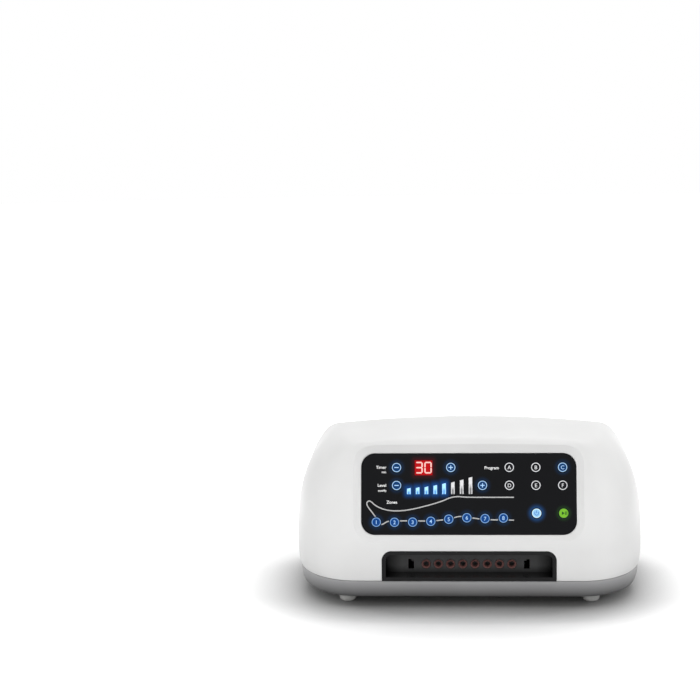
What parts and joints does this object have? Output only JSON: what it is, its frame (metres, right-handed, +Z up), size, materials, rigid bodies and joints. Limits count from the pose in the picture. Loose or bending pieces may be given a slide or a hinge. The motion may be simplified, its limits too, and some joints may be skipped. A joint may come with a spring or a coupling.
{
  "type": "compression therapy pump",
  "caption": "Bench-top compression therapy pump: a white domed console with a leaning key panel, a dark bay of hose outlets and a mains inlet behind.",
  "frame": {"origin": "middle of the footprint, on the surface that the four feet stand on", "axes": "+X to the right of someone facing the panel, the front faces -Y, +Z up"},
  "size_m": [0.314, 0.22, 0.155],
  "materials": {
    "white_shell": "moulded, soft gloss",
    "grey_shell": "moulded, satin",
    "panel_black": "polished",
    "bay_black": "moulded gloss",
    "grey_plastic": "moulded, fine texture",
    "dark_plastic": "moulded",
    "seal_red": "moulded",
    "pale_rubber": "moulded",
    "dark_rubber": "moulded",
    "board_green": "solder mask",
    "display_red": "filled",
    "light_guide": "clear moulded",
    "silicone": "translucent",
    "zinc_steel": "zinc plated",
    "laminated_steel": "varnished",
    "cast_alloy": "die cast",
    "ribbon_grey": "insulated",
    "key_blue": "backlit",
    "key_dark": "polished",
    "key_green": "backlit",
    "key_pale": "backlit"
  },
  "bodies": {
    "console": {"upper_shell": "white_shell", "lower_shell": "grey_shell", "control_panel": "panel_black", "port_bay": "bay_black", "rear_plate": "grey_plastic", "outlet_gasket": "seal_red", "outlet_block": "grey_plastic", "display_board": "board_green", "main_board": "board_green", "time_display": "display_red", "bar_light_guide": "light_guide", "remote_receiver": "key_dark", "chamber_tubes": "silicone", "supply_tube": "silicone", "valve_manifold": "grey_plastic", "valve_solenoids": "zinc_steel", "compressor_body": "cast_alloy", "compressor_head_left": "cast_alloy", "compressor_head_right": "cast_alloy", "power_transformer": "laminated_steel", "ribbon_cable": "ribbon_grey", "mains_inlet": "dark_plastic", "switch_frame": "dark_plastic", "mains_lead": "dark_rubber", "inlet_pin_left": "zinc_steel", "inlet_pin_right": "zinc_steel", "foot_front_left": "pale_rubber", "compressor_mount_front_left": "dark_rubber", "case_screw_front_left": "zinc_steel", "foot_front_right": "pale_rubber", "compressor_mount_front_right": "dark_rubber", "case_screw_front_right": "zinc_steel", "foot_rear_left": "pale_rubber", "compressor_mount_rear_left": "dark_rubber", "case_screw_rear_left": "zinc_steel", "foot_rear_right": "pale_rubber", "compressor_mount_rear_right": "dark_rubber", "case_screw_rear_right": "zinc_steel"},
    "time_minus_key": {"time_minus_button": "key_blue"},
    "time_plus_key": {"time_plus_button": "key_blue"},
    "pressure_minus_key": {"pressure_minus_button": "key_blue"},
    "pressure_plus_key": {"pressure_plus_button": "key_blue"},
    "mode_a_key": {"mode_a_button": "key_dark"},
    "mode_b_key": {"mode_b_button": "key_dark"},
    "mode_c_key": {"mode_c_button": "key_blue"},
    "mode_d_key": {"mode_d_button": "key_dark"},
    "mode_e_key": {"mode_e_button": "key_dark"},
    "mode_f_key": {"mode_f_button": "key_dark"},
    "power_key": {"power_button": "key_pale"},
    "start_key": {"start_button": "key_green"},
    "chamber_1_key": {"chamber_1_button": "key_blue"},
    "chamber_2_key": {"chamber_2_button": "key_blue"},
    "chamber_3_key": {"chamber_3_button": "key_blue"},
    "chamber_4_key": {"chamber_4_button": "key_blue"},
    "chamber_5_key": {"chamber_5_button": "key_blue"},
    "chamber_6_key": {"chamber_6_button": "key_blue"},
    "chamber_7_key": {"chamber_7_button": "key_blue"},
    "chamber_8_key": {"chamber_8_button": "key_blue"},
    "rocker": {"rocker_switch": "panel_black"}
  },
  "joints": [
    {"name": "time_minus_press", "type": "slide", "parent": "console", "child": "time_minus_key", "axis": [0, 0.9703, -0.2419], "range_m": [0, 0.0008], "stiffness_N_per_m": 800, "springref_m": -0.0005},
    {"name": "time_plus_press", "type": "slide", "parent": "console", "child": "time_plus_key", "axis": [0, 0.9703, -0.2419], "range_m": [0, 0.0008], "stiffness_N_per_m": 800, "springref_m": -0.0005},
    {"name": "pressure_minus_press", "type": "slide", "parent": "console", "child": "pressure_minus_key", "axis": [0, 0.9703, -0.2419], "range_m": [0, 0.0008], "stiffness_N_per_m": 800, "springref_m": -0.0005},
    {"name": "pressure_plus_press", "type": "slide", "parent": "console", "child": "pressure_plus_key", "axis": [0, 0.9703, -0.2419], "range_m": [0, 0.0008], "stiffness_N_per_m": 800, "springref_m": -0.0005},
    {"name": "mode_a_press", "type": "slide", "parent": "console", "child": "mode_a_key", "axis": [0, 0.9703, -0.2419], "range_m": [0, 0.0008], "stiffness_N_per_m": 800, "springref_m": -0.0005},
    {"name": "mode_b_press", "type": "slide", "parent": "console", "child": "mode_b_key", "axis": [0, 0.9703, -0.2419], "range_m": [0, 0.0008], "stiffness_N_per_m": 800, "springref_m": -0.0005},
    {"name": "mode_c_press", "type": "slide", "parent": "console", "child": "mode_c_key", "axis": [0, 0.9703, -0.2419], "range_m": [0, 0.0008], "stiffness_N_per_m": 800, "springref_m": -0.0005},
    {"name": "mode_d_press", "type": "slide", "parent": "console", "child": "mode_d_key", "axis": [0, 0.9703, -0.2419], "range_m": [0, 0.0008], "stiffness_N_per_m": 800, "springref_m": -0.0005},
    {"name": "mode_e_press", "type": "slide", "parent": "console", "child": "mode_e_key", "axis": [0, 0.9703, -0.2419], "range_m": [0, 0.0008], "stiffness_N_per_m": 800, "springref_m": -0.0005},
    {"name": "mode_f_press", "type": "slide", "parent": "console", "child": "mode_f_key", "axis": [0, 0.9703, -0.2419], "range_m": [0, 0.0008], "stiffness_N_per_m": 800, "springref_m": -0.0005},
    {"name": "power_press", "type": "slide", "parent": "console", "child": "power_key", "axis": [0, 0.9703, -0.2419], "range_m": [0, 0.0008], "stiffness_N_per_m": 800, "springref_m": -0.0005},
    {"name": "start_press", "type": "slide", "parent": "console", "child": "start_key", "axis": [0, 0.9703, -0.2419], "range_m": [0, 0.0008], "stiffness_N_per_m": 800, "springref_m": -0.0005},
    {"name": "chamber_1_press", "type": "slide", "parent": "console", "child": "chamber_1_key", "axis": [0, 0.9703, -0.2419], "range_m": [0, 0.0008], "stiffness_N_per_m": 800, "springref_m": -0.0005},
    {"name": "chamber_2_press", "type": "slide", "parent": "console", "child": "chamber_2_key", "axis": [0, 0.9703, -0.2419], "range_m": [0, 0.0008], "stiffness_N_per_m": 800, "springref_m": -0.0005},
    {"name": "chamber_3_press", "type": "slide", "parent": "console", "child": "chamber_3_key", "axis": [0, 0.9703, -0.2419], "range_m": [0, 0.0008], "stiffness_N_per_m": 800, "springref_m": -0.0005},
    {"name": "chamber_4_press", "type": "slide", "parent": "console", "child": "chamber_4_key", "axis": [0, 0.9703, -0.2419], "range_m": [0, 0.0008], "stiffness_N_per_m": 800, "springref_m": -0.0005},
    {"name": "chamber_5_press", "type": "slide", "parent": "console", "child": "chamber_5_key", "axis": [0, 0.9703, -0.2419], "range_m": [0, 0.0008], "stiffness_N_per_m": 800, "springref_m": -0.0005},
    {"name": "chamber_6_press", "type": "slide", "parent": "console", "child": "chamber_6_key", "axis": [0, 0.9703, -0.2419], "range_m": [0, 0.0008], "stiffness_N_per_m": 800, "springref_m": -0.0005},
    {"name": "chamber_7_press", "type": "slide", "parent": "console", "child": "chamber_7_key", "axis": [0, 0.9703, -0.2419], "range_m": [0, 0.0008], "stiffness_N_per_m": 800, "springref_m": -0.0005},
    {"name": "chamber_8_press", "type": "slide", "parent": "console", "child": "chamber_8_key", "axis": [0, 0.9703, -0.2419], "range_m": [0, 0.0008], "stiffness_N_per_m": 800, "springref_m": -0.0005},
    {"name": "rocker_tilt", "type": "hinge", "parent": "console", "child": "rocker", "pos_m": [0.034, 0.1034, 0.058], "axis": [1, 0, 0], "range_deg": [-20, 0]}
  ]
}
